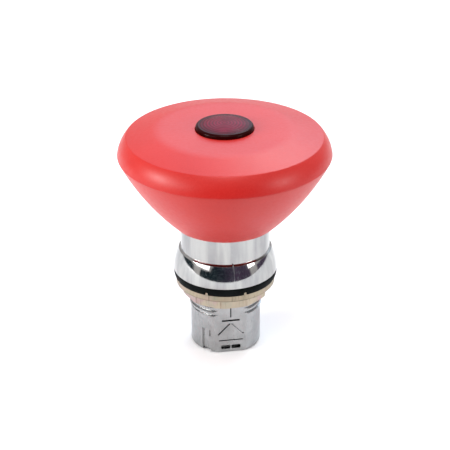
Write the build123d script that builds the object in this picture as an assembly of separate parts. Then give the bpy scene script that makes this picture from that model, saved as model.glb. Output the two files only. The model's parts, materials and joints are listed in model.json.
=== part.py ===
from build123d import *
import os
from math import asin, cos, pi, sin, sqrt

# Illuminated push-pull emergency stop operator for a 22 mm panel hole.
# Millimetres, +Z up along the push axis, origin at the centre of the bottom face.
# -Y is the side with the flat, the way mark and the bezel's index rib.

# ---- driving dimensions ----
head_radius = 30.0
head_rim_z = 38.65
head_rim_radius = 14.85
head_seam_z = 59.35
head_edge_radius = 27.5
head_edge_z = 64.6
head_flat_radius = 19.0
head_top_z = 66.65
head_wall = 2.2
lens_radius = 8.1
lens_proud = 1.65
collar_radius = 12.75
collar_top_z = 44.0
dome_top_z = 30.2
dome_rise = 0.3
bezel_radius = 14.95
gasket_top_z = 23.7
gasket_bottom_z = 21.3
washer_radius = 14.25
washer_bottom_z = 19.35
tooth_count = 8
first_tooth = -31.5
nut_bottom_z = 16.0
body_radius = 10.1
thread_radius = 10.45
thread_depth = 0.7
thread_pitch = 1.5
thread_start_z = 11.4
flat_distance = 9.0
panel_hole_radius = 11.15
socket_radius = 8.2
pocket_radius = 8.4
plunger_radius = 5.5
plunger_bore = 3.6
press_travel = 5.0
running_gap = 0.05
face_gap = 0.03

# ---- sizes worked out from them ----
web_bottom_z = 9.1
web_top_z = 13.0
pin_z = 11.2
pin_radius = 0.6
shoulder_z = gasket_bottom_z - 1.1
cage_bottom_z = 35.5
cage_top_z = 41.2
cage_radius = 10.6
tube_radius = 11.5
head_floor_z = collar_top_z + press_travel + 2.0
head_floor_top_z = head_floor_z + 2.5
hub_top_z = head_floor_z + 4.0
plunger_top_z = hub_top_z + 3.5
plunger_bottom_z = press_travel + 0.4
clip_groove = (6.0, 6.6)
snap_groove = (33.2, 33.8)
upper_seat_z = snap_groove[0] - 3.6
lower_seat_height = 0.6
detent_z = 38.0
detent_depth = 0.35
clip_wire = 0.45
lens_top_z = head_top_z + lens_proud
lens_ledge_z = head_top_z - 2.0
flange_top_z = lens_ledge_z - 0.85
flange_z = flange_top_z - 1.1
retainer_z = flange_z - 2.0
well_radius = 9.5


# ---- helpers ----
def turned(edges):
    """Solid of revolution about Z from a closed outline of (radius, height) edges."""
    return revolve(Plane.XZ * Face(Wire(edges)), Axis.Z)


def polygon_edges(points):
    """Straight edges that close a list of (radius, height) points."""
    return [Line(a, b) for a, b in zip(points, points[1:] + points[:1])]


def turned_polygon(points):
    return turned(polygon_edges(points))


def ring(inner, outer, bottom, top):
    """Plain ring about Z."""
    return turned_polygon([(inner, bottom), (outer, bottom), (outer, top), (inner, top)])


def rod(radius, bottom, top):
    return Pos(0, 0, (bottom + top) / 2) * Cylinder(radius, top - bottom)


def block(x_size, y_size, z_size, x=0, y=0, z=0):
    """Box with its centre at x, y, z."""
    return Pos(x, y, z) * Box(x_size, y_size, z_size)


def at_angle(shape, degrees):
    """Turn a shape made on the -Y side about Z, counter-clockwise seen from above."""
    return Rot(0, 0, degrees) * shape


def tooth_angle(index):
    return first_tooth + 360 / tooth_count * index


def bulge(start, end, height):
    """Arc from start to end that stands height proud of the chord, on its right-hand side."""
    dx, dy = end[0] - start[0], end[1] - start[1]
    chord = sqrt(dx * dx + dy * dy)
    middle = ((start[0] + end[0]) / 2 + dy / chord * height, (start[1] + end[1]) / 2 - dx / chord * height)
    return ThreePointArc(start, middle, end)


def crown(edge, rise):
    """Arc from edge up to the Z axis, on a sphere centred on that axis."""
    radius = (edge[0] ** 2 + rise**2) / (2 * rise)
    half_angle = asin(edge[0] / radius) / 2
    apex_z = edge[1] + rise
    middle = (radius * sin(half_angle), apex_z - radius * (1 - cos(half_angle)))
    return ThreePointArc(edge, middle, (0, apex_z))


def coil(radius, wire_radius, pitch, bottom, top):
    """Round wire wound about Z."""
    path = Pos(0, 0, bottom) * Helix(pitch, top - bottom, radius)
    return sweep(Plane(path @ 0, z_dir=path % 0) * Circle(wire_radius), path, is_frenet=True)


def thread_form(base_radius, base_width, tip_radius, tip_width, bottom, top):
    """Helical bar with a trapezoid section, widest at base_radius, that starts on the +X side."""
    path = Pos(0, 0, bottom) * Helix(thread_pitch, top - bottom, base_radius)
    section = Polyline(
        (0, -base_width / 2),
        (tip_radius - base_radius, -tip_width / 2),
        (tip_radius - base_radius, tip_width / 2),
        (0, base_width / 2),
        close=True,
    )
    start = Plane(origin=path @ 0, x_dir=(1, 0, 0), z_dir=path % 0)
    return sweep(start * make_face(section), path, is_frenet=True)


# ---- head ----
def head_skirt():
    """Lower bowl of the mushroom with the floor and hub that sit on the plunger."""
    rim_wall = 1.4
    bowl_sag = 1.1
    floor_radius = 23.6
    hub_radius = 8.5
    outer_rim = (head_rim_radius, head_rim_z)
    outer_seam = (head_radius, head_seam_z)
    inner_rim = (head_rim_radius - rim_wall, head_rim_z)
    inner_seam = (head_radius - head_wall, head_seam_z)
    bowl = turned([
        Line(inner_rim, outer_rim),
        bulge(outer_rim, outer_seam, bowl_sag),
        Line(outer_seam, inner_seam),
        bulge(inner_seam, inner_rim, -bowl_sag),
    ])
    floor = ring(plunger_radius, floor_radius, head_floor_z, head_floor_top_z)
    hub = ring(plunger_radius, hub_radius, head_floor_z, hub_top_z)
    rib_length = 14.0
    rib_height = 1.7
    rib_y = 1.0 - hub_radius - rib_length / 2
    rib = block(1.4, rib_length, rib_height, y=rib_y, z=hub_top_z - rib_height / 2)
    return bowl + floor + hub + [at_angle(rib, 60 * i) for i in range(6)]


def head_cap():
    """Upper shell of the mushroom, with the lens well moulded into it."""
    bevel_sag = 0.45
    hole_radius = lens_radius + 0.1
    outer_seam = (head_radius, head_seam_z)
    outer_edge = (head_edge_radius, head_edge_z)
    inner_seam = (head_radius - head_wall, head_seam_z)
    inner_edge = (head_edge_radius - 1.7, head_edge_z - head_wall)
    shell = turned([
        bulge(outer_seam, outer_edge, bevel_sag),
        Line(outer_edge, (head_flat_radius, head_top_z)),
        Line((head_flat_radius, head_top_z), (hole_radius, head_top_z)),
        Line((hole_radius, head_top_z), (hole_radius, lens_ledge_z)),
        Line((hole_radius, lens_ledge_z), (head_flat_radius, lens_ledge_z)),
        Line((head_flat_radius, lens_ledge_z), inner_edge),
        bulge(inner_edge, inner_seam, -bevel_sag),
        Line(inner_seam, outer_seam),
    ])
    well_wall = 1.5
    well = ring(well_radius, well_radius + well_wall, retainer_z - 0.4, lens_ledge_z + 0.1)
    spigot_radius = head_radius - head_wall - running_gap
    spigot_bore = spigot_radius - 1.6
    spigot_depth = 2.0
    lead_in = 1.1
    spigot = turned_polygon([
        (spigot_bore, head_seam_z - spigot_depth),
        (spigot_radius - lead_in, head_seam_z - spigot_depth),
        (spigot_radius, head_seam_z + 0.2),
        (spigot_radius, head_seam_z + 1.5),
        (spigot_bore, head_seam_z + 2.0),
    ])
    return shell + well + spigot


def lens():
    """Dark red window: a flange below the cap's ledge and a low dome with a rounded rim."""
    rim_radius = 0.9
    lens_rise = 0.5
    flange_radius = well_radius - 0.1
    rim_z = lens_top_z - lens_rise - rim_radius
    corner = (lens_radius - rim_radius, rim_z + rim_radius)
    return turned([
        Line((0, flange_z), (flange_radius, flange_z)),
        Line((flange_radius, flange_z), (flange_radius, flange_top_z)),
        Line((flange_radius, flange_top_z), (lens_radius, flange_top_z)),
        Line((lens_radius, flange_top_z), (lens_radius, rim_z)),
        bulge((lens_radius, rim_z), corner, rim_radius * (1 - cos(pi / 4))),
        crown(corner, lens_rise),
        Line((0, lens_top_z), (0, flange_z)),
    ])


def lens_seal():
    """Rubber O-ring between the lens flange and the cap's ledge."""
    cord_radius = 0.4
    ring_radius = (well_radius - 0.1 + lens_radius) / 2
    return Pos(0, 0, lens_ledge_z - cord_radius - 0.02) * Torus(ring_radius, cord_radius)


def diffuser():
    """Frosted disc with concentric ribs underneath the lens."""
    bottom = retainer_z + 1.0
    disc = rod(well_radius - 0.1, bottom, flange_z - 0.05)
    for radius in (2.0, 4.0, 6.0):
        disc -= ring(radius, radius + 0.8, bottom - 0.1, bottom + 0.3)
    return disc


def lens_retainer():
    """Snap ring that holds the lens stack in the well."""
    return ring(7.2, well_radius - 0.02, retainer_z, retainer_z + 0.95)


def light_guide():
    """Clear rod that carries the lamp's light up the hollow plunger."""
    stem = rod(plunger_bore - 0.2, plunger_bottom_z + 0.8, plunger_top_z)
    head = rod(plunger_radius - 0.1, plunger_top_z, plunger_top_z + 0.9)
    return stem + head


def head_clamp_nut():
    """Slotted ring nut that clamps the head's hub to the plunger."""
    nut_radius = 8.0
    nut = ring(plunger_radius, nut_radius, hub_top_z, hub_top_z + 2.8)
    slot = block(1.6, 2.4, 3.0, y=-nut_radius, z=hub_top_z + 2.0)
    for i in range(4):
        nut -= at_angle(slot, 90 * i)
    return nut


# ---- plunger and its mechanism ----
def plunger_tube():
    """Hollow stem with the head shoulder, two detent grooves, a clip groove and a guide slot."""
    stem = ring(plunger_bore, plunger_radius, plunger_bottom_z, plunger_top_z)
    shoulder = ring(plunger_radius - 0.1, 6.8, head_floor_z - 1.5, head_floor_z)
    tube = stem + shoulder
    for z in (detent_z, detent_z + press_travel):
        tube -= turned_polygon([
            (plunger_radius + 0.1, z - 1.0),
            (plunger_radius + 0.1, z + 1.0),
            (plunger_radius - detent_depth, z + 0.55),
            (plunger_radius - detent_depth, z - 0.55),
        ])
    for bottom, top in (clip_groove, snap_groove):
        tube -= ring(plunger_radius - 0.6, plunger_radius + 0.1, bottom, top)
    slot_top = web_top_z + press_travel + 0.4
    slot_length = slot_top - plunger_bottom_z
    tube -= block(1.5, 1.0, slot_length, y=plunger_radius - 0.2, z=plunger_bottom_z + slot_length / 2)
    return tube


def retaining_clip():
    """E-shaped clip below the actuator ring."""
    bottom, top = clip_groove
    clip = ring(plunger_radius - 0.58, 6.9, bottom + 0.02, top - 0.02)
    clip -= block(7.6, 8.0, 1.0, y=-5.6, z=(bottom + top) / 2)
    return clip


def seat_snap_ring():
    """Split ring that holds the upper spring seat down on the plunger."""
    bottom, top = snap_groove
    snap = ring(plunger_radius - 0.58, 6.5, bottom + 0.02, top - 0.02)
    snap -= block(1.6, 3.0, 1.0, y=-6.0, z=(bottom + top) / 2)
    return snap


def actuator_ring():
    """Pusher that meets the contact blocks and stops the plunger against the web."""
    pusher_radius = 7.7
    bottom, top = clip_groove[1], web_bottom_z - 0.1
    pusher = ring(plunger_radius, pusher_radius, bottom, top)
    notch = block(2.2, 1.4, 3.0, y=0.1 - pusher_radius, z=bottom + 0.8)
    for i in range(3):
        pusher -= at_angle(notch, 60 + 120 * i)
    return pusher


def upper_spring_seat():
    """Bush on the plunger that guides it in the pocket and carries the spring's top."""
    flange = ring(plunger_radius, pocket_radius - 0.15, upper_seat_z, upper_seat_z + 1.2)
    sleeve = ring(plunger_radius, 6.4, upper_seat_z - 1.4, snap_groove[0])
    return flange + sleeve


def return_spring():
    """Compression spring that pushes the plunger up."""
    wire_radius = 0.55
    end_play = 0.1
    bottom = web_top_z + lower_seat_height + wire_radius + end_play
    top = upper_seat_z - wire_radius - end_play
    return coil(7.2, wire_radius, 2.75, bottom, top)


def lower_spring_seat():
    """Washer on the web below the spring."""
    return ring(plunger_radius + 0.3, pocket_radius - 0.05, web_top_z, web_top_z + lower_seat_height)


def guide_pin():
    """Radial dowel in the web that keeps the plunger from turning."""
    length = 3.9
    return Pos(0, plunger_radius - 0.55 + length / 2, pin_z) * Rot(90, 0, 0) * Cylinder(pin_radius, length)


def latch_cage():
    """Ring above the spring pocket, with a slot for each leg of the latch clip."""
    cage = ring(plunger_radius + running_gap, cage_radius, cage_bottom_z, cage_top_z)
    for side in (-1, 1):
        cage -= block(2.2, 15.0, 1.2, x=side * 6.1, z=detent_z)
    cage -= block(14.4, 1.9, 1.2, y=7.1, z=detent_z)
    return cage


def latch_clip():
    """Hairpin wire whose two legs snap into the plunger's detent grooves."""
    leg_x = plunger_radius - detent_depth + clip_wire + running_gap
    bend_y = 6.9
    bend_radius = 1.2
    leg_end_y = bend_y - bend_radius
    back_x = leg_x - bend_radius
    path = Wire([
        Line((-leg_x, -bend_y, detent_z), (-leg_x, leg_end_y, detent_z)),
        RadiusArc((-leg_x, leg_end_y, detent_z), (-back_x, bend_y, detent_z), bend_radius),
        Line((-back_x, bend_y, detent_z), (back_x, bend_y, detent_z)),
        RadiusArc((back_x, bend_y, detent_z), (leg_x, leg_end_y, detent_z), bend_radius),
        Line((leg_x, leg_end_y, detent_z), (leg_x, -bend_y, detent_z)),
    ])
    return sweep(Plane(path @ 0, z_dir=path % 0) * Circle(clip_wire), path)


def wiper_ring():
    """Lip seal between the collar's mouth and the plunger."""
    body = ring(7.0, cage_radius, cage_top_z, collar_top_z - 1.2)
    lip = turned_polygon([
        (plunger_radius + 0.02, cage_top_z + 0.9),
        (7.1, cage_top_z + 0.2),
        (7.1, cage_top_z + 1.1),
        (plunger_radius + 0.02, cage_top_z + 1.5),
    ])
    return body + lip


# ---- fixed housing ----
def bezel_collar():
    """Chromed sleeve: domed skirt, sloped shoulder, straight collar and an index rib."""
    edge_break = 0.15
    dome_foot = (bezel_radius, gasket_top_z + edge_break)
    dome_top = (collar_radius + 0.6, dome_top_z)
    shoulder_top_z = dome_top_z + 0.4
    mouth_radius = 7.4
    mouth_z = collar_top_z - 1.2
    sleeve = turned([
        Line((tube_radius, gasket_top_z), (bezel_radius - edge_break, gasket_top_z)),
        Line((bezel_radius - edge_break, gasket_top_z), dome_foot),
        bulge(dome_foot, dome_top, dome_rise),
        Line(dome_top, (collar_radius, shoulder_top_z)),
        Line((collar_radius, shoulder_top_z), (collar_radius, collar_top_z - 0.6)),
        Line((collar_radius, collar_top_z - 0.6), (collar_radius - 0.6, collar_top_z)),
        Line((collar_radius - 0.6, collar_top_z), (mouth_radius, collar_top_z)),
        Line((mouth_radius, collar_top_z), (mouth_radius, mouth_z)),
        Line((mouth_radius, mouth_z), (tube_radius, mouth_z)),
        Line((tube_radius, mouth_z), (tube_radius, gasket_top_z)),
    ])
    rib_height = 0.1
    rib_root = collar_radius - 0.4
    rib_foot = (dome_foot[0] - rib_height, dome_foot[1] + 1.5)
    rib_shoulder = (dome_top[0] + rib_height, dome_top_z)
    rib_head = (rib_shoulder[0], shoulder_top_z)
    rib = turned([
        Line((rib_root, rib_foot[1]), rib_foot),
        bulge(rib_foot, rib_shoulder, dome_rise),
        Line(rib_shoulder, rib_head),
        Line(rib_head, (rib_root, shoulder_top_z)),
        Line((rib_root, shoulder_top_z), (rib_root, rib_foot[1])),
    ])
    return sleeve + (rib & block(0.4, 6.0, 12.0, y=-bezel_radius, z=dome_top_z - 4.0))


def way_mark():
    """Cutters for the engraved arrow and bars on the flat, without any lettering."""
    depth = 0.35
    y = -flat_distance
    marks = [
        block(0.35, 2 * depth, 3.2, y=y, z=12.9),
        block(5.2, 2 * depth, 0.55, y=y, z=10.3),
        block(7.0, 2 * depth, 0.35, y=y, z=3.75),
    ]
    for side in (-1, 1):
        leg = Rot(0, -side * 44, 0) * Box(0.45, 2 * depth, 5.0)
        marks.append(Pos(side * 2.0, y, 7.5) * leg)
    return marks


def body_cuts():
    """Cutters for the keyway, its foot notch, the sight slit and the two latch windows."""
    keyway_angle = -45.5
    keyway = ring(body_radius - 0.5, 12.0, -1.0, 7.4)
    foot = ring(body_radius - 1.2, 12.0, -1.0, 0.8)
    slit = ring(body_radius - 0.5, 12.0, 5.2, 7.1)
    cuts = [
        keyway & at_angle(block(2.2, 6.0, 20.0, y=-body_radius), keyway_angle),
        foot & at_angle(block(2.9, 6.0, 20.0, y=-body_radius), keyway_angle + 2),
        slit & at_angle(block(0.45, 6.0, 20.0, y=-body_radius), keyway_angle + 9),
    ]
    for side in (-1, 1):
        window = Box(2.7, 3.0, 1.2)
        cuts.append(Pos(side * 1.5, -flat_distance, 1.5) * fillet(window.edges().filter_by(Axis.Y), 0.35))
    return cuts


def threaded_body():
    """Die-cast body: socket, web, spring pocket, outside thread, flat and keyway."""
    neck_radius = panel_hole_radius - 0.05
    foot_break = 0.3
    crest_break = thread_radius - body_radius
    cage_seat_z = collar_top_z - 1.2
    body = turned_polygon([
        (socket_radius, 0),
        (body_radius - foot_break, 0),
        (body_radius, foot_break),
        (body_radius, thread_start_z + 0.45),
        (thread_radius, thread_start_z + 0.45 + crest_break),
        (thread_radius, shoulder_z),
        (neck_radius, shoulder_z),
        (neck_radius, gasket_top_z),
        (tube_radius, gasket_top_z),
        (tube_radius, cage_seat_z),
        (cage_radius, cage_seat_z),
        (cage_radius, cage_bottom_z),
        (pocket_radius, cage_bottom_z),
        (pocket_radius, web_top_z),
        (plunger_radius + running_gap, web_top_z),
        (plunger_radius + running_gap, web_bottom_z),
        (socket_radius, web_bottom_z),
    ])
    root_radius = thread_radius - thread_depth
    groove_width = 1.0
    groove_top = shoulder_z - 0.7
    body -= thread_form(thread_radius + 0.15, groove_width, root_radius, 0.3, thread_start_z, groove_top)
    body -= block(30, 10, shoulder_z, y=-flat_distance - 5, z=shoulder_z / 2)
    for cut in body_cuts() + way_mark():
        body -= cut
    body -= Pos(0, 7.0, pin_z) * Rot(90, 0, 0) * Cylinder(pin_radius, 3.8)
    return body


def panel_gasket():
    """Rubber seal under the bezel, fuller at the top and notched for the washer's teeth."""
    foot = (14.5, gasket_bottom_z)
    widest = (bezel_radius - 0.05, gasket_top_z - 0.4)
    top_radius = bezel_radius - 0.2
    gasket = turned([
        Line((panel_hole_radius, gasket_bottom_z), foot),
        bulge(foot, widest, 0.1),
        Line(widest, (top_radius, gasket_top_z)),
        Line((top_radius, gasket_top_z), (panel_hole_radius, gasket_top_z)),
        Line((panel_hole_radius, gasket_top_z), (panel_hole_radius, gasket_bottom_z)),
    ])
    for i in range(tooth_count):
        gasket -= at_angle(block(1.0, 1.8, 1.0, y=-14.4, z=gasket_bottom_z + 0.4), tooth_angle(i))
    return gasket


# ---- panel fixings ----
def lock_washer():
    """Toothed washer, counterbored for the body's shoulder and keyed to its flat."""
    top = gasket_bottom_z - face_gap
    bottom = washer_bottom_z + face_gap
    bore = thread_radius + 0.12
    edge_break = 0.15
    washer = turned_polygon([
        (bore, bottom),
        (washer_radius - edge_break, bottom),
        (washer_radius, bottom + edge_break),
        (washer_radius, top - edge_break),
        (washer_radius - edge_break, top),
        (bore, top),
    ])
    key = block(13.0, 4.0, top - bottom, y=-flat_distance - 2.1, z=(top + bottom) / 2)
    washer += key & ring(7.0, thread_radius + 1.0, bottom, top)
    washer -= rod(panel_hole_radius + 0.1, shoulder_z - 0.1, top + 1.0)
    for i in range(tooth_count):
        washer += at_angle(block(0.8, 0.55, 0.9, y=-washer_radius + 0.3, z=top + 0.35), tooth_angle(i))
    return washer


def fixing_nut():
    """Ten-sided panel nut, chamfered below, with an internal thread."""
    sides = 10
    corner_radius = 12.45
    chamfer_radius = 12.05
    chamfer_height = 0.3
    first_corner = -16.0
    height = washer_bottom_z - nut_bottom_z
    bore_radius = thread_radius + 0.15
    outline = RegularPolygon(corner_radius, sides, rotation=first_corner - 90)
    nut = Pos(0, 0, nut_bottom_z) * extrude(outline, height)
    nut &= turned_polygon([
        (0, nut_bottom_z),
        (chamfer_radius, nut_bottom_z),
        (corner_radius + 0.1, nut_bottom_z + chamfer_height),
        (corner_radius + 0.1, washer_bottom_z),
        (0, washer_bottom_z),
    ])
    nut -= rod(bore_radius, nut_bottom_z - 1, washer_bottom_z + 1)
    ridge_turn = 180
    ridge_width = 0.92
    ridge_bottom = thread_start_z + 3 * thread_pitch
    ridge_top = ridge_bottom + 2.0
    ridge = thread_form(bore_radius + 0.15, ridge_width, thread_radius - 0.2, 0.5, ridge_bottom, ridge_top)
    nut += Pos(0, 0, thread_pitch * ridge_turn / 360) * at_angle(ridge, ridge_turn)
    return nut


parts = {
    "head_cap": head_cap,
    "head_skirt": head_skirt,
    "lens": lens,
    "lens_seal": lens_seal,
    "diffuser": diffuser,
    "lens_retainer": lens_retainer,
    "light_guide": light_guide,
    "head_clamp_nut": head_clamp_nut,
    "plunger_tube": plunger_tube,
    "retaining_clip": retaining_clip,
    "actuator_ring": actuator_ring,
    "upper_spring_seat": upper_spring_seat,
    "seat_snap_ring": seat_snap_ring,
    "return_spring": return_spring,
    "lower_spring_seat": lower_spring_seat,
    "guide_pin": guide_pin,
    "latch_cage": latch_cage,
    "latch_clip": latch_clip,
    "wiper_ring": wiper_ring,
    "bezel_collar": bezel_collar,
    "threaded_body": threaded_body,
    "panel_gasket": panel_gasket,
    "lock_washer": lock_washer,
    "fixing_nut": fixing_nut,
}

os.makedirs("parts", exist_ok=True)
for name, build in parts.items():
    shape = build()
    export_step(shape, f"parts/{name}.step")
    print(name, round(shape.volume, 1), "mm3", "valid" if shape.is_valid else "NOT VALID")
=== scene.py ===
import bpy
import bmesh
import json
import math
from mathutils import Matrix, Quaternion, Vector


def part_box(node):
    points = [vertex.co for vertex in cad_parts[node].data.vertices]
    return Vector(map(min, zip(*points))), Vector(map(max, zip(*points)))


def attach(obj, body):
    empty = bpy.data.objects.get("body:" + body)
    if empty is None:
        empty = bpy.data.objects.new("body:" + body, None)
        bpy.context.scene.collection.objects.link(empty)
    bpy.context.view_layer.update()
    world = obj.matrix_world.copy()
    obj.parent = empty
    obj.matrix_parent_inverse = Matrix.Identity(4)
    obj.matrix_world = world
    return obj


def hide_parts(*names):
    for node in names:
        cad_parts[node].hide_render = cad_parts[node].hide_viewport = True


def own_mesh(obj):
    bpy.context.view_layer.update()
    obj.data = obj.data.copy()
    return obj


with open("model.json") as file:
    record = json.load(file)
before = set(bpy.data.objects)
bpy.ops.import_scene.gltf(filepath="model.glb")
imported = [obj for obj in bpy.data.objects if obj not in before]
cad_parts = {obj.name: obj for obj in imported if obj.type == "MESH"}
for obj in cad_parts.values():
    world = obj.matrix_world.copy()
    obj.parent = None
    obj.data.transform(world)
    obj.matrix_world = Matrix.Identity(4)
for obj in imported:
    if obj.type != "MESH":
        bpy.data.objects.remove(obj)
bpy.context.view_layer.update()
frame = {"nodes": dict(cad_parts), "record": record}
MM = 0.001


# ---- sizes: from the frame where its boxes give them ----
def top_of(node):
    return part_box(node)[1].z


def bottom_of(node):
    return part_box(node)[0].z


def radius_of(node):
    low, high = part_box(node)
    return (high.x - low.x) / 2


object_height = top_of("lens")
head_radius = radius_of("head_cap")
head_top_z = top_of("head_cap")
head_seam_z = top_of("head_skirt")
head_rim_z = bottom_of("head_skirt")
head_rim_radius = 14.85 * MM
head_edge_radius = head_radius - 2.5 * MM
head_edge_z = head_top_z - 2.05 * MM
head_flat_radius = 19.0 * MM
head_flat_z = head_top_z - 0.02 * MM
head_wall = 2.2 * MM
head_seam_fillet = 0.08 * MM
lens_radius = 8.1 * MM
lens_flange_z = bottom_of("lens")
well_radius = radius_of("lens") + 0.1 * MM
collar_radius = 12.75 * MM
collar_top_z = top_of("bezel_collar")
bezel_radius = radius_of("bezel_collar")
bezel_bottom_z = bottom_of("bezel_collar")
tube_radius = 11.5 * MM
plunger_radius = 5.5 * MM
skirt_height = 6.5 * MM
shoulder_height = 6.9 * MM
body_radius = 10.1 * MM
flat_y = -9.0 * MM
nut_corners = 10
nut_first_corner = math.radians(-16)


# ---- outlines and meshes ----
def rounded(corners, steps=8):
    """Closed outline of (radius, height) points, with each corner (radius, height, fillet) rounded."""
    outline = []
    count = len(corners)
    for i, (r, z, fillet) in enumerate(corners):
        here = Vector((r, z))
        if fillet <= 0:
            outline.append(here)
            continue
        before = (Vector(corners[i - 1][:2]) - here).normalized()
        after = (Vector(corners[(i + 1) % count][:2]) - here).normalized()
        half = before.angle(after) / 2
        centre = here + (before + after).normalized() * fillet / math.sin(half)
        first = here + before * fillet / math.tan(half) - centre
        last = here + after * fillet / math.tan(half) - centre
        sweep = first.angle_signed(last)
        for k in range(steps + 1):
            turned = first.copy()
            turned.rotate(Matrix.Rotation(-sweep * k / steps, 2))
            outline.append(centre + turned)
    return outline


def bulge(start, end, height, steps=24):
    """Points inside an arc from start to end that stands height proud of its chord, on the right."""
    start, end = Vector(start), Vector(end)
    chord = end - start
    side = Vector((chord.y, -chord.x)).normalized()
    half = chord.length / 2
    radius = (half * half + height * height) / (2 * abs(height))
    reach = math.asin(half / radius)
    points = []
    for k in range(1, steps):
        angle = reach * (2 * k / steps - 1)
        along = radius * math.sin(angle)
        rise = radius * math.cos(angle) - (radius - abs(height))
        on_chord = (start + end) / 2 + chord.normalized() * along
        points.append(on_chord + side * math.copysign(rise, height))
    return points


def as_corners(points):
    """Points of an arc as corners that stay sharp."""
    return [(p[0], p[1], 0.0) for p in points]


def mesh_object(name, bm, sharp_degrees=30):
    mesh = bpy.data.meshes.new(name)
    bmesh.ops.recalc_face_normals(bm, faces=bm.faces)
    bm.to_mesh(mesh)
    bm.free()
    for polygon in mesh.polygons:
        polygon.use_smooth = True
    mesh.set_sharp_from_angle(angle=math.radians(sharp_degrees))
    made = bpy.data.objects.new(name, mesh)
    bpy.context.scene.collection.objects.link(made)
    return made


def lathe(name, outline, steps=192, sharp_degrees=30):
    """Closed outline of (radius, height) points turned about Z. Points on the axis become one vertex."""
    on_axis = 0.001 * MM
    bm = bmesh.new()
    turns = [2 * math.pi / steps * k for k in range(steps)]
    rings = []
    for r, z in outline:
        if r < on_axis:
            rings.append([bm.verts.new((0, 0, z))])
        else:
            rings.append([bm.verts.new((r * math.cos(turn), r * math.sin(turn), z)) for turn in turns])
    for lower, upper in zip(rings, rings[1:] + rings[:1]):
        if len(lower) == 1 and len(upper) == 1:
            continue
        for k in range(steps):
            n = (k + 1) % steps
            if len(lower) == 1:
                bm.faces.new((lower[0], upper[n], upper[k]))
            elif len(upper) == 1:
                bm.faces.new((lower[k], lower[n], upper[0]))
            else:
                bm.faces.new((lower[k], lower[n], upper[n], upper[k]))
    return mesh_object(name, bm, sharp_degrees)


def tube(name, rings):
    """Mesh through rings of as many points each, every ring joined to the next, with closed ends."""
    bm = bmesh.new()
    loops = [[bm.verts.new(point) for point in ring] for ring in rings]
    for lower, upper in zip(loops, loops[1:]):
        for k in range(len(lower)):
            n = (k + 1) % len(lower)
            bm.faces.new((lower[k], lower[n], upper[n], upper[k]))
    bm.faces.new(loops[0])
    bm.faces.new(loops[-1][::-1])
    return mesh_object(name, bm, sharp_degrees=50)


# ---- shading ----
# The Mix node's colour sockets go by number, since its socket names repeat.
colour_a, colour_b, colour_result = 6, 7, 2


class Shading:
    """Short calls that add nodes to one node tree and link them."""

    def __init__(self, tree):
        self.nodes = tree.nodes
        self.links = tree.links

    def link(self, output, node, socket):
        self.links.new(output, node.inputs[socket])

    def fill(self, socket, value):
        """Puts a number or colour in a socket, or links another node's output to it."""
        if isinstance(value, bpy.types.NodeSocket):
            self.links.new(value, socket)
        elif isinstance(value, tuple):
            socket.default_value = (*value, 1.0)
        else:
            socket.default_value = value

    def noise_node(self, place, scale, detail, roughness=0.5, distortion=0.0):
        node = self.nodes.new("ShaderNodeTexNoise")
        node.inputs["Scale"].default_value = scale
        node.inputs["Detail"].default_value = detail
        node.inputs["Roughness"].default_value = roughness
        node.inputs["Distortion"].default_value = distortion
        self.link(place, node, "Vector")
        return node

    def remap(self, value, low, high, to_low=0.0, to_high=1.0, smooth=False):
        """Value carried from the range low to high onto to_low to to_high, and held at its ends."""
        node = self.nodes.new("ShaderNodeMapRange")
        node.interpolation_type = "SMOOTHSTEP" if smooth else "LINEAR"
        node.inputs["From Min"].default_value = low
        node.inputs["From Max"].default_value = high
        node.inputs["To Min"].default_value = to_low
        node.inputs["To Max"].default_value = to_high
        self.link(value, node, "Value")
        return node.outputs["Result"]

    def maths(self, operation, a, b=0.0):
        node = self.nodes.new("ShaderNodeMath")
        node.operation = operation
        self.fill(node.inputs[0], a)
        self.fill(node.inputs[1], b)
        return node.outputs["Value"]

    def product(self, first, *others):
        for other in others:
            first = self.maths("MULTIPLY", first, other)
        return first

    def mix(self, factor, first, second):
        """Colour between first and second, each a colour or another node's output."""
        node = self.nodes.new("ShaderNodeMix")
        node.data_type = "RGBA"
        self.link(factor, node, "Factor")
        self.fill(node.inputs[colour_a], first)
        self.fill(node.inputs[colour_b], second)
        return node.outputs[colour_result]


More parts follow.
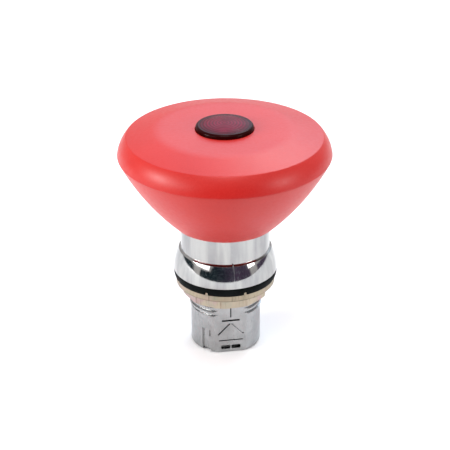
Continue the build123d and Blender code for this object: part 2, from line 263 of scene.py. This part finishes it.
class Surface(Shading):
    """A Principled material, with the object coordinates and bump that it is built from."""

    def __init__(self, name, colour, metallic=0.0, roughness=0.5, **sockets):
        self.material = bpy.data.materials.new(name)
        self.material.use_nodes = True
        super().__init__(self.material.node_tree)
        self.shader = self.nodes["Principled BSDF"]
        self.place = self.nodes.new("ShaderNodeTexCoord").outputs["Object"]
        self.set("Base Color", (*colour, 1.0))
        self.set("Metallic", metallic)
        self.set("Roughness", roughness)
        for socket, value in sockets.items():
            self.set(socket.replace("_", " "), value)

    def set(self, socket, value):
        self.shader.inputs[socket].default_value = value

    def stretched(self, x, y, z):
        """Object coordinates scaled by x, y, z, so that noise read there is drawn out."""
        node = self.nodes.new("ShaderNodeMapping")
        node.inputs["Scale"].default_value = (x, y, z)
        self.link(self.place, node, "Vector")
        return node.outputs["Vector"]

    def noise(self, size_mm, detail=3.0, place=None, distortion=0.0):
        """Noise whose features are about size_mm across."""
        scale = 1.0 / (size_mm * MM)
        node = self.noise_node(place or self.place, scale, detail, roughness=0.55, distortion=distortion)
        return node.outputs["Fac"]

    def axis(self, letter):
        """One object coordinate of a point, in metres."""
        node = self.nodes.new("ShaderNodeSeparateXYZ")
        self.link(self.place, node, "Vector")
        return node.outputs[letter]

    def axis_distance(self):
        """Distance of a point from the Z axis, in metres."""
        flat = self.nodes.new("ShaderNodeVectorMath")
        flat.operation = "MULTIPLY"
        flat.inputs[1].default_value = (1, 1, 0)
        self.link(self.place, flat, 0)
        length = self.nodes.new("ShaderNodeVectorMath")
        length.operation = "LENGTH"
        self.link(flat.outputs["Vector"], length, 0)
        return length.outputs["Value"]

    def colour_from(self, output):
        self.link(output, self.shader, "Base Color")

    def roughness_from(self, output):
        self.link(output, self.shader, "Roughness")

    def bump(self, heights):
        """Bump from a list of (output, depth in millimetres, strength)."""
        last = None
        for output, depth_mm, strength in heights:
            node = self.nodes.new("ShaderNodeBump")
            node.inputs["Strength"].default_value = strength
            node.inputs["Distance"].default_value = depth_mm * MM
            self.link(output, node, "Height")
            if last:
                self.link(last.outputs["Normal"], node, "Normal")
            last = node
        self.link(last.outputs["Normal"], self.shader, "Normal")


# ---- materials ----
def red_plastic():
    """Satin moulded plastic: slow shade drift, spark-eroded grain and a few handling marks."""
    gloss = {"Specular_IOR_Level": 0.27, "Coat_Weight": 0.18, "Coat_Roughness": 0.38}
    s = Surface("red_plastic", (0.48, 0.011, 0.007), roughness=0.40, **gloss)
    drift = s.remap(s.noise(22.0, detail=2.0), 0.35, 0.65)
    speck = s.remap(s.noise(0.45, detail=2.0), 0.35, 0.65)
    base = s.mix(drift, (0.46, 0.009, 0.006), (0.50, 0.012, 0.008))
    s.colour_from(s.mix(s.product(speck, 0.35), base, (0.55, 0.024, 0.017)))
    marks = s.noise(1.6, detail=4.0, place=s.stretched(0.25, 1.4, 1.0), distortion=0.6)
    worn = s.remap(marks, 0.62, 0.78)
    grain_roughness = s.remap(s.noise(0.9), 0.3, 0.7, 0.36, 0.46)
    s.roughness_from(s.maths("ADD", grain_roughness, s.product(worn, 0.08)))
    s.bump([(s.noise(0.32, detail=2.0), 0.02, 0.35), (s.noise(4.0, detail=1.0), 0.03, 0.15)])
    return s.material


def lens_red():
    """Opaque stand-in for clear deep red plastic: painted light, brighter inside and fading to nearly
    black at the rim, with fine turned rings.
    """
    s = Surface("lens_red", (0.10, 0.004, 0.020), roughness=0.16, Specular_IOR_Level=0.05)
    ring_pitch = 0.9 * MM
    lit_radius, dark_radius = 5.0 * MM, 7.7 * MM
    rings = s.maths("SINE", s.product(s.axis_distance(), 2 * math.pi / ring_pitch))
    glow = s.remap(s.axis_distance(), lit_radius, dark_radius, 1.0, 0.0)
    patch = s.remap(s.noise(3.0, detail=2.0), 0.35, 0.65, 0.7, 1.0)
    # Painted light: brighter towards the middle, fading to nearly black at the rim.
    lit = s.product(glow, patch, s.remap(rings, -1.0, 1.0, 0.45, 1.0))
    s.colour_from(s.mix(lit, (0.018, 0.001, 0.001), (0.20, 0.003, 0.026)))
    s.roughness_from(s.remap(s.noise(1.2), 0.3, 0.7, 0.12, 0.24))
    s.bump([(rings, 0.03, 0.45), (s.noise(0.7), 0.01, 0.15)])
    return s.material


def chrome_plate():
    """Bright chrome with upright polishing streaks, wipe marks, haze and a painted dark reflection on
    the shoulder.
    """
    s = Surface("chrome_plate", (0.40, 0.40, 0.39), metallic=1.0, roughness=0.06)
    streaks = s.remap(s.noise(3.0, place=s.stretched(1.0, 1.0, 0.12)), 0.38, 0.62)
    base = s.mix(streaks, (0.32, 0.315, 0.32), (0.46, 0.455, 0.44))
    haze = s.remap(s.noise(5.0, detail=4.0), 0.4, 0.7, 0.0, 0.5)
    hazy = s.mix(haze, base, (0.42, 0.415, 0.40))
    # Painted shade: a dark band low on the front of the shoulder stands for a dark reflection.
    s.colour_from(s.mix(shoulder_painted_shade(s), hazy, (0.03, 0.022, 0.02)))
    wipes = s.noise(1.2, detail=4.0, place=s.stretched(1.0, 1.0, 8.0))
    s.roughness_from(s.remap(wipes, 0.3, 0.75, 0.045, 0.12))
    s.bump([(wipes, 0.004, 0.10), (s.noise(3.0, detail=2.0), 0.012, 0.10)])
    return s.material


def shoulder_painted_shade(s):
    """Painted shade low on the sloped shoulder, at the front only: a dark band in place of the shaded
    head underside that the chrome reflects there.
    """
    foot_z = bezel_bottom_z + skirt_height
    unshaded_below, full_above = foot_z - 0.05 * MM, foot_z + 0.05 * MM
    full_below, unshaded_above = foot_z + 0.20 * MM, foot_z + 0.38 * MM
    full_front, unshaded_back = -9.5 * MM, -7.0 * MM
    above = s.remap(s.axis("Z"), unshaded_below, full_above, 0.0, 0.85)
    below = s.remap(s.axis("Z"), full_below, unshaded_above, 1.0, 0.0)
    front = s.remap(s.axis("Y"), full_front, unshaded_back, 1.0, 0.0)
    return s.product(above, below, front)


def die_cast_metal():
    """Satin plated casting: mottled tone, upright draw marks, pits, painted shade in the cut marks and a
    painted highlight on the keyway walls.
    """
    s = Surface("die_cast_metal", (0.34, 0.345, 0.35), metallic=1.0, roughness=0.30)
    mottle = s.remap(s.noise(3.5, detail=4.0, distortion=0.4), 0.3, 0.7)
    tone = s.mix(mottle, (0.31, 0.315, 0.315), (0.405, 0.41, 0.415))
    pits = s.remap(s.noise(0.5, detail=2.0), 0.66, 0.78)
    pitted = s.mix(s.product(pits, 0.6), tone, (0.16, 0.16, 0.16))
    # Painted highlight: the keyway walls are lightened to stand for light that they catch.
    with_painted_highlight = s.mix(s.product(keyway(s), 0.8), pitted, (0.75, 0.75, 0.74))
    # Painted shade: the cut marks on the flat are darkened to stand for the shade inside them.
    s.colour_from(s.mix(painted_mark_shade(s), with_painted_highlight, (0.035, 0.036, 0.038)))
    draws = s.noise(0.5, place=s.stretched(1.0, 1.0, 0.08))
    s.roughness_from(s.remap(draws, 0.25, 0.75, 0.22, 0.40))
    s.bump([(draws, 0.012, 0.25), (s.noise(0.4), 0.015, 0.30), (pits, -0.03, 0.35)])
    return s.material


def painted_mark_shade(s):
    """Painted shade in the marks cut into the flat: full in the bars, light in the arrow, less on its
    right.
    """
    edge = 0.1 * MM
    marks_start = flat_y + 0.02 * MM
    marks_full = flat_y + edge
    marks_end = flat_y + 0.40 * MM
    marks_half_width = 3.8 * MM
    arrow_low, arrow_high = 4.6 * MM, 9.6 * MM
    shaded_side, unshaded_side = -0.5 * MM, 1.5 * MM
    behind_flat = s.remap(s.axis("Y"), marks_start, marks_full)
    before_wall = s.remap(s.axis("Y"), marks_end, marks_end + edge, 1.0, 0.0)
    from_middle = s.maths("ABSOLUTE", s.axis("X"))
    near_middle = s.remap(from_middle, marks_half_width, marks_half_width + edge, 1.0, 0.0)
    over = s.remap(s.axis("Z"), arrow_low, arrow_low + edge)
    under = s.remap(s.axis("Z"), arrow_high - edge, arrow_high, 1.0, 0.0)
    arrow_unshaded = s.remap(s.axis("X"), shaded_side, unshaded_side, 0.45, 1.0)
    shade_share = s.maths("SUBTRACT", 1.0, s.product(over, under, arrow_unshaded))
    return s.product(behind_flat, before_wall, near_middle, shade_share)


def keyway(s):
    """Where the painted highlight goes: 1 on the side walls of the shallow keyway left of the flat, 0
    elsewhere on the body.
    """
    edge = 0.1 * MM
    floor_radius, wall_radius = 9.62 * MM, 9.66 * MM
    right_end, back_end = -5.5 * MM, -4.9 * MM
    wall_end, skin = body_radius - edge, body_radius - 0.03 * MM
    below_skin = s.remap(s.axis_distance(), wall_end, skin, 1.0, 0.0)
    above_floor = s.remap(s.axis_distance(), floor_radius, wall_radius)
    leftward = s.remap(s.axis("X"), right_end - edge, right_end, 1.0, 0.0)
    forward = s.remap(s.axis("Y"), back_end - edge, back_end, 1.0, 0.0)
    on_walls = s.product(below_skin, above_floor)
    at_front_left = s.product(leftward, forward)
    return s.product(on_walls, at_front_left)


def black_rubber():
    """Moulded rubber with a dusty bloom and a very fine grain."""
    s = Surface("black_rubber", (0.003, 0.004, 0.004), roughness=0.55, Specular_IOR_Level=0.04)
    bloom = s.remap(s.noise(5.0, detail=4.0), 0.45, 0.75)
    s.colour_from(s.mix(bloom, (0.002, 0.003, 0.003), (0.006, 0.008, 0.008)))
    s.roughness_from(s.remap(s.noise(0.6), 0.3, 0.7, 0.45, 0.68))
    s.bump([(s.noise(0.25), 0.02, 0.35)])
    return s.material


def zinc_plate(name, straw, pink, green):
    """Surface and plate colour: straw that drifts to pink and green, with fine upright lines."""
    s = Surface(name, straw, metallic=1.0, roughness=0.44)
    first = s.remap(s.noise(7.0, detail=2.0, distortion=0.8), 0.45, 0.62, 0.0, 0.8)
    second = s.remap(s.noise(5.0, detail=2.0, place=s.stretched(1.3, 0.8, 1.7)), 0.52, 0.66, 0.0, 0.7)
    tone = s.mix(second, s.mix(first, straw, pink), green)
    lines = s.noise(0.55, place=s.stretched(1.0, 1.0, 0.10))
    darker = tuple(0.55 * c for c in straw)
    streaked = s.mix(s.remap(lines, 0.56, 0.74, 0.0, 0.8), tone, darker)
    s.roughness_from(s.remap(lines, 0.3, 0.7, 0.36, 0.55))
    s.bump([(lines, 0.02, 0.40), (s.noise(0.35), 0.012, 0.30)])
    return s, streaked


def washer_zinc():
    """Duller plate for the washer, with a painted shadow line along its lower edge."""
    s, plate = zinc_plate("washer_zinc", (0.37, 0.315, 0.23), (0.40, 0.31, 0.26), (0.30, 0.29, 0.215))
    edge_z = bottom_of("lock_washer")
    dark_top, clear_bottom = edge_z + 0.10 * MM, edge_z + 0.35 * MM
    # Painted shadow: the lower edge is darkened to stand for the shade where the washer overhangs the
    # nut.
    shade = s.remap(s.axis("Z"), dark_top, clear_bottom, 0.75, 0.0)
    s.colour_from(s.mix(shade, plate, (0.10, 0.075, 0.05)))
    return s.material


def nut_zinc():
    """Brighter plate for the nut, with ragged, patchy dark lines along its corners."""
    s, plate = zinc_plate("nut_zinc", (0.45, 0.385, 0.295), (0.42, 0.30, 0.305), (0.38, 0.365, 0.29))
    full_share, unmarked_share = 0.022, 0.055
    turn = s.maths("ARCTAN2", s.axis("X"), s.product(s.axis("Y"), -1.0))
    past_first = s.maths("SUBTRACT", turn, nut_first_corner)
    sides_passed = s.maths("DIVIDE", past_first, 2 * math.pi / nut_corners)
    side_share = s.maths("FRACT", s.maths("ADD", sides_passed, 0.5))
    off_corner = s.maths("ABSOLUTE", s.maths("SUBTRACT", side_share, 0.5))
    ragged = s.maths("ADD", off_corner, s.product(s.noise(0.8), 0.03))
    patchy = s.remap(s.noise(2.5, detail=1.0), 0.42, 0.62, 0.10, 0.85)
    # The corners are darkened in ragged, patchy lines.
    dark_corner_lines = s.product(s.remap(ragged, full_share, unmarked_share, 1.0, 0.0), patchy)
    s.colour_from(s.mix(dark_corner_lines, plate, (0.12, 0.075, 0.05)))
    return s.material


def plain_metal(name, colour, roughness, line_size_mm=0.5):
    """Turned or drawn metal for the small inner pieces."""
    s = Surface(name, colour, metallic=1.0, roughness=roughness)
    darker = tuple(0.8 * c for c in colour)
    s.colour_from(s.mix(s.remap(s.noise(2.5, detail=4.0), 0.3, 0.7), darker, colour))
    lines = s.noise(line_size_mm, place=s.stretched(0.3, 0.3, 2.5))
    s.roughness_from(s.remap(lines, 0.3, 0.7, roughness - 0.08, roughness + 0.10))
    s.bump([(lines, 0.01, 0.25)])
    return s.material


def plain_plastic(name, colour, roughness):
    """Moulded plastic for the inner pieces, with a light grain."""
    s = Surface(name, colour, roughness=roughness)
    darker = tuple(0.85 * c for c in colour)
    s.colour_from(s.mix(s.remap(s.noise(6.0), 0.3, 0.7), darker, colour))
    s.roughness_from(s.remap(s.noise(1.0), 0.3, 0.7, roughness - 0.06, roughness + 0.08))
    s.bump([(s.noise(0.4), 0.015, 0.25)])
    return s.material


def clear_acrylic():
    """Opaque pale stand-in for the clear light guide, which is out of sight."""
    s = Surface("clear_acrylic", (0.86, 0.87, 0.87), roughness=0.12, Specular_IOR_Level=0.5)
    s.roughness_from(s.remap(s.noise(1.5), 0.3, 0.7, 0.08, 0.22))
    s.colour_from(s.mix(s.noise(4.0), (0.80, 0.82, 0.82), (0.92, 0.92, 0.91)))
    s.bump([(s.noise(0.8), 0.01, 0.2)])
    return s.material


def make_materials():
    """A material for each slot of the record, and the washer's own."""
    return {
        "red_plastic": red_plastic(),
        "lens_red": lens_red(),
        "frosted_plastic": plain_plastic("frosted_plastic", (0.80, 0.78, 0.76), 0.6),
        "clear_acrylic": clear_acrylic(),
        "black_plastic": plain_plastic("black_plastic", (0.030, 0.030, 0.031), 0.45),
        "white_nylon": plain_plastic("white_nylon", (0.74, 0.73, 0.69), 0.42),
        "black_rubber": black_rubber(),
        "chrome_plate": chrome_plate(),
        "die_cast_metal": die_cast_metal(),
        "yellow_zinc_steel": nut_zinc(),
        "washer_zinc": washer_zinc(),
        "plain_steel": plain_metal("plain_steel", (0.58, 0.59, 0.61), 0.30),
        "spring_steel": plain_metal("spring_steel", (0.42, 0.43, 0.45), 0.28, 0.3),
        "anodised_aluminium": plain_metal("anodised_aluminium", (0.70, 0.71, 0.73), 0.36),
    }


def dress_cad_nodes(materials):
    """Gives every CAD node the material of its record slot, and the washer its own duller plate."""
    for part in frame["record"]["subparts"]:
        node = frame["nodes"][part["node"]]
        for slot in node.material_slots:
            slot.material = materials[part["material_slot"]]
    for slot in frame["nodes"]["lock_washer"].material_slots:
        slot.material = materials["washer_zinc"]


def stand_for(piece, node, body, slot, materials):
    """Puts piece on body in place of the CAD node, with the slot's material."""
    piece.data.materials.append(materials[slot])
    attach(piece, body)
    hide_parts(node)


# ---- finer shapes for the turned pieces that show ----
def head_cap_shell(materials):
    """Mushroom top: flat centre, shallow slope, rounded edge and a slightly full bevel."""
    seam = (head_radius, head_seam_z)
    edge = (head_edge_radius, head_edge_z)
    inner_seam = (head_radius - head_wall, head_seam_z)
    inner_edge = (head_edge_radius - 1.7 * MM, head_edge_z - head_wall)
    ledge_z = head_top_z - 2.0 * MM
    hole = lens_radius + 0.1 * MM
    bevel_sag = 0.45 * MM
    room_for_fillet = 3
    bevel = bulge(seam, edge, bevel_sag)[:-room_for_fillet]
    inner_bevel = bulge(inner_edge, inner_seam, -bevel_sag)[room_for_fillet:]
    edge_fillet = 0.75 * MM
    inner_edge_fillet = 0.4 * MM
    flat_fillet = 14.0 * MM
    hole_fillet = 0.15 * MM
    well_fillet = 0.1 * MM
    well_outer = well_radius + 1.5 * MM
    well_bottom = bottom_of("lens_retainer") - 0.4 * MM
    corners = (
        [(*seam, head_seam_fillet)]
        + as_corners(bevel)
        + [(*edge, edge_fillet)]
        + [(head_flat_radius, head_flat_z, flat_fillet)]
        + [(hole, head_flat_z, hole_fillet), (hole, ledge_z, 0)]
        + [(well_radius, ledge_z, 0), (well_radius, well_bottom, well_fillet)]
        + [(well_outer, well_bottom, well_fillet), (well_outer, ledge_z, 0)]
        + [(head_flat_radius, ledge_z, 0), (*inner_edge, inner_edge_fillet)]
        + as_corners(inner_bevel)
        + [(*inner_seam, 0)]
    )
    piece = lathe("head_cap_shell", rounded(corners), sharp_degrees=35)
    stand_for(piece, "head_cap", "head", "red_plastic", materials)


def head_skirt_shell(materials):
    """Underside of the mushroom: a full bowl down to a rounded lip, with its floor and hub inside."""
    rim_wall = 1.4 * MM
    lip_fillet = 0.45 * MM
    lip = (head_rim_radius, head_rim_z)
    seam = (head_radius, head_seam_z)
    inner_seam = (head_radius - head_wall, head_seam_z)
    inner_lip = (head_rim_radius - rim_wall, head_rim_z)
    bowl_sag = 1.1 * MM
    outside = bulge(lip, seam, bowl_sag, steps=40)
    inside = bulge(inner_seam, inner_lip, -bowl_sag, steps=40)
    floor_z = collar_top_z + 7.0 * MM
    floor_top_z = floor_z + 2.5 * MM
    hub_top_z = floor_z + 4.0 * MM
    hub_radius = 8.5 * MM
    hub_fillet = 0.2 * MM
    above = [p for p in inside if p.y > floor_top_z]
    below = [p for p in inside if p.y < floor_z]
    floor_top_edge = above[-1].x - 0.3 * MM
    floor_edge = below[0].x + 0.1 * MM
    # Arc points beside a rounded corner are left out, to give the rounding room.
    corners = (
        [(*lip, lip_fillet)]
        + as_corners(outside[2:-1])
        + [(*seam, head_seam_fillet), (*inner_seam, 0)]
        + as_corners(above)
        + [(floor_top_edge, floor_top_z, 0), (hub_radius, floor_top_z, 0)]
        + [(hub_radius, hub_top_z, hub_fillet), (plunger_radius, hub_top_z, 0)]
        + [(plunger_radius, floor_z, 0), (floor_edge, floor_z, 0)]
        + as_corners(below[:-1])
        + [(*inner_lip, lip_fillet)]
    )
    piece = lathe("head_skirt_shell", rounded(corners), sharp_degrees=35)
    stand_for(piece, "head_skirt", "head", "red_plastic", materials)


def lens_window(materials):
    """Lens with its flange, a rounded rim, a shallow turned step and a low crown."""
    top_z = top_of("lens")
    flange_top_z = lens_flange_z + 1.1 * MM
    crown_rise = 0.5 * MM
    rim_z = top_z - crown_rise
    step_radius = lens_radius - 1.5 * MM
    flange_radius = well_radius - 0.1 * MM
    flange_fillet = 0.1 * MM
    rim_fillet = 0.8 * MM
    step_fillet = 0.2 * MM
    crown = bulge((step_radius, rim_z + 0.06 * MM), (0, top_z), crown_rise / 4, steps=16)
    corners = (
        [(0, lens_flange_z, 0), (flange_radius, lens_flange_z, flange_fillet)]
        + [(flange_radius, flange_top_z, flange_fillet), (lens_radius, flange_top_z, 0)]
        + [(lens_radius, rim_z, rim_fillet), (step_radius + 0.2 * MM, rim_z + 0.04 * MM, step_fillet)]
        + as_corners(crown)
        + [(0, top_z, 0)]
    )
    piece = lathe("lens_window", rounded(corners), sharp_degrees=40)
    stand_for(piece, "lens", "head", "lens_red", materials)


def bezel_sleeve(materials):
    """Chromed collar: domed skirt with its index rib, sloped shoulder and a straight sleeve."""
    base_z = bezel_bottom_z
    foot_chamfer = 0.15 * MM
    dome_foot = (bezel_radius, base_z + foot_chamfer)
    dome_head = (collar_radius + 0.6 * MM, base_z + skirt_height)
    dome = bulge(dome_foot, dome_head, 0.3 * MM, steps=32)
    shoulder_z = base_z + shoulder_height
    foot_fillet = 0.06 * MM
    shoulder_fillet = 0.12 * MM
    top_fillet = 0.5 * MM
    mouth_fillet = 0.15 * MM
    mouth = 7.4 * MM
    lip_z = collar_top_z - 1.2 * MM
    corners = (
        [(tube_radius, base_z, 0), (bezel_radius - foot_chamfer, base_z, 0), (*dome_foot, foot_fillet)]
        + as_corners(dome[1:-1])
        + [(*dome_head, shoulder_fillet), (collar_radius, shoulder_z, shoulder_fillet)]
        + [(collar_radius, collar_top_z, top_fillet), (mouth, collar_top_z, mouth_fillet)]
        + [(mouth, lip_z, 0), (tube_radius, lip_z, 0)]
    )
    piece = lathe("bezel_sleeve", rounded(corners), steps=256, sharp_degrees=40)
    stand_for(piece, "bezel_collar", "housing", "chrome_plate", materials)
    rib_start = 7  # points of the dome's arc below the rib's foot
    rib = index_rib(dome[rib_start:] + [Vector(dome_head), Vector((dome_head[0], shoulder_z))])
    rib.data.materials.append(materials["chrome_plate"])
    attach(rib, "housing")


def index_rib(profile):
    """Low rounded ridge up the front of the dome, along a profile of (radius, height) points.

    It hardly stands out of the dome at its foot and rises steeply near its head.
    """
    half_width = 0.2 * MM
    segments = 8
    proud_at_foot, proud_at_head = 0.02 * MM, 0.1 * MM
    rows = []
    for k, point in enumerate(profile):
        ahead = profile[min(k + 1, len(profile) - 1)] - profile[max(k - 1, 0)]
        outward = Vector((ahead.y, -ahead.x)).normalized()
        share = k / (len(profile) - 1)
        proud = proud_at_foot + (proud_at_head - proud_at_foot) * share ** 4
        row = []
        for j in range(segments + 1):
            angle = math.pi * j / segments
            at = point + outward * (2 * proud * math.sin(angle) - proud)
            row.append((half_width * math.cos(angle), -at.x, at.y))
        rows.append(row)
    return tube("index_rib", rows)


def spring_coil(materials):
    """Return spring inside the body. It shortens as the head is pressed, which the CAD node can't.
    Here a coil at the CAD node's length, with a mesh of its own.
    """
    low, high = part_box("return_spring")
    wire_radius = 0.55 * MM
    pitch = 2.75 * MM
    length = high.z - low.z
    coil_radius = radius_of("return_spring") - wire_radius
    rise = length - 2 * wire_radius
    sweep = 2 * math.pi * rise / pitch
    steps, segments = 240, 12
    rings = []
    for k in range(steps + 1):
        turn = sweep * k / steps
        ring = []
        for j in range(segments):
            around = 2 * math.pi * j / segments
            r = coil_radius + wire_radius * math.cos(around)
            z = low.z + wire_radius + rise * k / steps + wire_radius * math.sin(around)
            ring.append((r * math.cos(turn), r * math.sin(turn), z))
        rings.append(ring)
    piece = tube("spring_coil", rings)
    stand_for(piece, "return_spring", "housing", "spring_steel", materials)
    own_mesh(piece)


# ---- camera and floor ----
camera_azimuth = math.radians(-9.5)
camera_elevation = math.radians(26.87)
camera_distance = 0.408
camera_lens = 114.3
camera_sensor = 36.0
camera_target_z = 0.5368 * object_height
camera_roll = math.radians(0.3)
camera_shift = -1 / 3000  # sideways, as a share of the picture's width


def heading(azimuth, elevation):
    """Unit vector from the object towards azimuth and elevation. Azimuth 0 is the front, -Y."""
    flat = math.cos(elevation)
    return Vector((math.sin(azimuth) * flat, -math.cos(azimuth) * flat, math.sin(elevation)))


def place_camera():
    """Camera in front, a little to the left and above, aimed near the object's middle."""
    data = bpy.data.cameras.new("camera")
    data.lens = camera_lens
    data.sensor_width = camera_sensor
    data.shift_x = camera_shift
    data.clip_start = 0.01
    data.clip_end = 50.0
    camera = bpy.data.objects.new("camera", data)
    bpy.context.scene.collection.objects.link(camera)
    target = Vector((0, 0, camera_target_z))
    back = heading(camera_azimuth, camera_elevation)
    camera.location = target + back * camera_distance
    camera.rotation_mode = "QUATERNION"
    aim = (-back).to_track_quat("-Z", "Y")
    camera.rotation_quaternion = aim @ Quaternion((0, 0, 1), -camera_roll)
    bpy.context.scene.camera = camera


def floor_plane():
    """Pale paper that ends a little way in front of the object and runs far back behind it."""
    left, right = -2.0, 2.0
    front, back = -0.20, 3.0
    gap_below_object = 0.2 * MM
    bm = bmesh.new()
    corners = [(left, front, 0), (right, front, 0), (right, back, 0), (left, back, 0)]
    bm.faces.new([bm.verts.new(c) for c in corners])
    floor = mesh_object("floor", bm)
    floor.location.z = -gap_below_object
    floor.rotation_euler.z = camera_azimuth
    s = Surface("floor_paper", (0.92, 0.92, 0.92), roughness=0.9, Specular_IOR_Level=0.1)
    s.colour_from(s.mix(s.noise(60.0), (0.91, 0.91, 0.91), (0.93, 0.93, 0.93)))
    floor.data.materials.append(s.material)


# ---- light ----
# Azimuths are counted from the camera's. Where the glow, the strips and the wall colours start and
# end is a cosine: 1 towards the place, 0 square to it, -1 away from it. A top is an elevation's sine.
glow_azimuth = math.radians(166)
glow_elevation = math.radians(39)
glow_fades_out, glow_is_full = 0.84, 0.98
sky_bright = (1.95, 2.50, 3.05)
sky_dim = (0.74, 0.72, 0.72)
low_room_half_width = math.radians(57)
low_room_top = 0.16
high_room_azimuth = math.radians(10)
high_room_half_width = math.radians(44)
high_room_top = 0.46
room_top_fade = 0.05
strip_front, strip_back = 0.26, -0.58
strip_top = 0.15
edge_fade = 0.04
wall_blue = (0.006, 0.020, 0.030)
wall_violet = (0.110, 0.070, 0.130)
blue_up_to, violet_from = -0.5, 0.7
wall_specks = (0.34, 0.42, 0.46)
specks_start, specks_full = 0.57, 0.66
paper_white = (1.0, 1.0, 1.0)


class Sky(Shading):
    """World shader with short calls for the studio's bright and dark regions."""

    def __init__(self):
        world = bpy.data.worlds.new("studio")
        bpy.context.scene.world = world
        world.use_nodes = True
        super().__init__(world.node_tree)
        self.background = self.nodes["Background"]
        self.direction = self.nodes.new("ShaderNodeTexCoord").outputs["Generated"]

    def shifted_by_noise(self, scale, reach):
        """Direction pushed about by up to reach, so that edges read from it come out ragged."""
        noise = self.noise_node(self.direction, scale, detail=4.0)
        centred = self.nodes.new("ShaderNodeVectorMath")
        centred.operation = "SUBTRACT"
        centred.inputs[1].default_value = (reach, reach, reach)
        self.link(self.direction, centred, 0)
        pushed = self.nodes.new("ShaderNodeVectorMath")
        pushed.operation = "MULTIPLY_ADD"
        pushed.inputs[1].default_value = (2 * reach, 2 * reach, 2 * reach)
        self.link(noise.outputs["Color"], pushed, 0)
        self.link(centred.outputs["Vector"], pushed, 2)
        return pushed.outputs["Vector"]

    def height(self, direction):
        split = self.nodes.new("ShaderNodeSeparateXYZ")
        self.link(direction, split, "Vector")
        return split.outputs["Z"]

    def toward(self, azimuth, elevation, direction):
        """1 towards azimuth and elevation, falling to -1 on the opposite side."""
        node = self.nodes.new("ShaderNodeVectorMath")
        node.operation = "DOT_PRODUCT"
        node.inputs[1].default_value = heading(camera_azimuth + azimuth, elevation)
        self.link(direction, node, 0)
        return node.outputs["Value"]

    def ramp(self, value, start, end):
        """Smooth step from 0 at start to 1 at end."""
        return self.remap(value, start, end, smooth=True)

    def band(self, direction, azimuth, half_width, up, top):
        """1 within half_width of azimuth and below top, 0 elsewhere."""
        edge = math.cos(half_width)
        across = self.ramp(self.toward(azimuth, 0, direction), edge - edge_fade, edge + edge_fade)
        return self.product(across, self.ramp(up, top, top - room_top_fade))

    def larger(self, a, b):
        return self.maths("MAXIMUM", a, b)


def dark_room(sky):
    """1 where the unlit room shows: low and high in front, and as a strip low down at each side."""
    ragged = sky.shifted_by_noise(7.0, 0.06)
    up = sky.height(ragged)
    low = sky.band(ragged, 0, low_room_half_width, up, low_room_top)
    high = sky.band(ragged, high_room_azimuth, high_room_half_width, up, high_room_top)
    facing = sky.toward(0, 0, ragged)
    not_in_front = sky.ramp(facing, strip_front + edge_fade, strip_front - edge_fade)
    not_behind = sky.ramp(facing, strip_back - edge_fade, strip_back + edge_fade)
    below_top = sky.ramp(up, strip_top, strip_top - edge_fade)
    strips = sky.product(not_in_front, not_behind, below_top)
    return sky.larger(sky.larger(low, high), strips)


def room_walls(sky):
    """The room's walls: blue on the left drifting to violet on the right, with pale specks."""
    right = math.radians(90)
    rightward = sky.toward(right, 0, sky.shifted_by_noise(12.0, 0.5))
    shade = sky.mix(sky.ramp(rightward, blue_up_to, violet_from), wall_blue, wall_violet)
    speckle = sky.noise_node(sky.direction, 34.0, detail=5.0).outputs["Fac"]
    return sky.mix(sky.ramp(speckle, specks_start, specks_full), shade, wall_specks)


def studio_sky():
    """Pale surround with a glow up behind and a dark room in front. The camera sees plain white."""
    sky = Sky()
    glow_nearness = sky.toward(glow_azimuth, glow_elevation, sky.direction)
    glow = sky.ramp(glow_nearness, glow_fades_out, glow_is_full)
    clear = sky.mix(glow, sky_dim, sky_bright)
    studio = sky.mix(dark_room(sky), clear, room_walls(sky))
    camera_ray = sky.nodes.new("ShaderNodeLightPath").outputs["Is Camera Ray"]
    sky.link(sky.mix(camera_ray, studio, paper_white), sky.background, "Color")
    sky.background.inputs["Strength"].default_value = 1.0


def soft_box(name, azimuth, elevation, distance, width, height, power):
    """Area light aimed at the object's middle. Angles are degrees, azimuth counted from the camera's."""
    data = bpy.data.lights.new(name, "AREA")
    data.shape = "RECTANGLE"
    data.size = width
    data.size_y = height
    data.energy = power
    light = bpy.data.objects.new(name, data)
    back = heading(math.radians(azimuth) + camera_azimuth, math.radians(elevation))
    light.location = Vector((0, 0, object_height / 2)) + back * distance
    light.rotation_mode = "QUATERNION"
    light.rotation_quaternion = (-back).to_track_quat("-Z", "Y")
    bpy.context.scene.collection.objects.link(light)


def light_studio():
    studio_sky()
    near, far = 0.9, 1.2
    soft_box("back_box", azimuth=156, elevation=50, distance=far, width=0.5, height=0.5, power=4.0)
    soft_box("left_box", azimuth=-74, elevation=18, distance=near, width=0.22, height=0.22, power=4.7)
    soft_box("left_card", azimuth=-53, elevation=17, distance=near, width=0.50, height=0.22, power=1.6)
    soft_box("right_box", azimuth=62, elevation=16, distance=near, width=0.26, height=0.20, power=2.2)
    soft_box("overhead", azimuth=0, elevation=72, distance=far, width=0.5, height=0.5, power=5.0)
    bpy.context.scene.view_settings.view_transform = "Standard"


# ---- the stage, then the object on it ----
place_camera()
light_studio()
floor_plane()
materials = make_materials()
dress_cad_nodes(materials)
head_cap_shell(materials)
head_skirt_shell(materials)
lens_window(materials)
bezel_sleeve(materials)
spring_coil(materials)
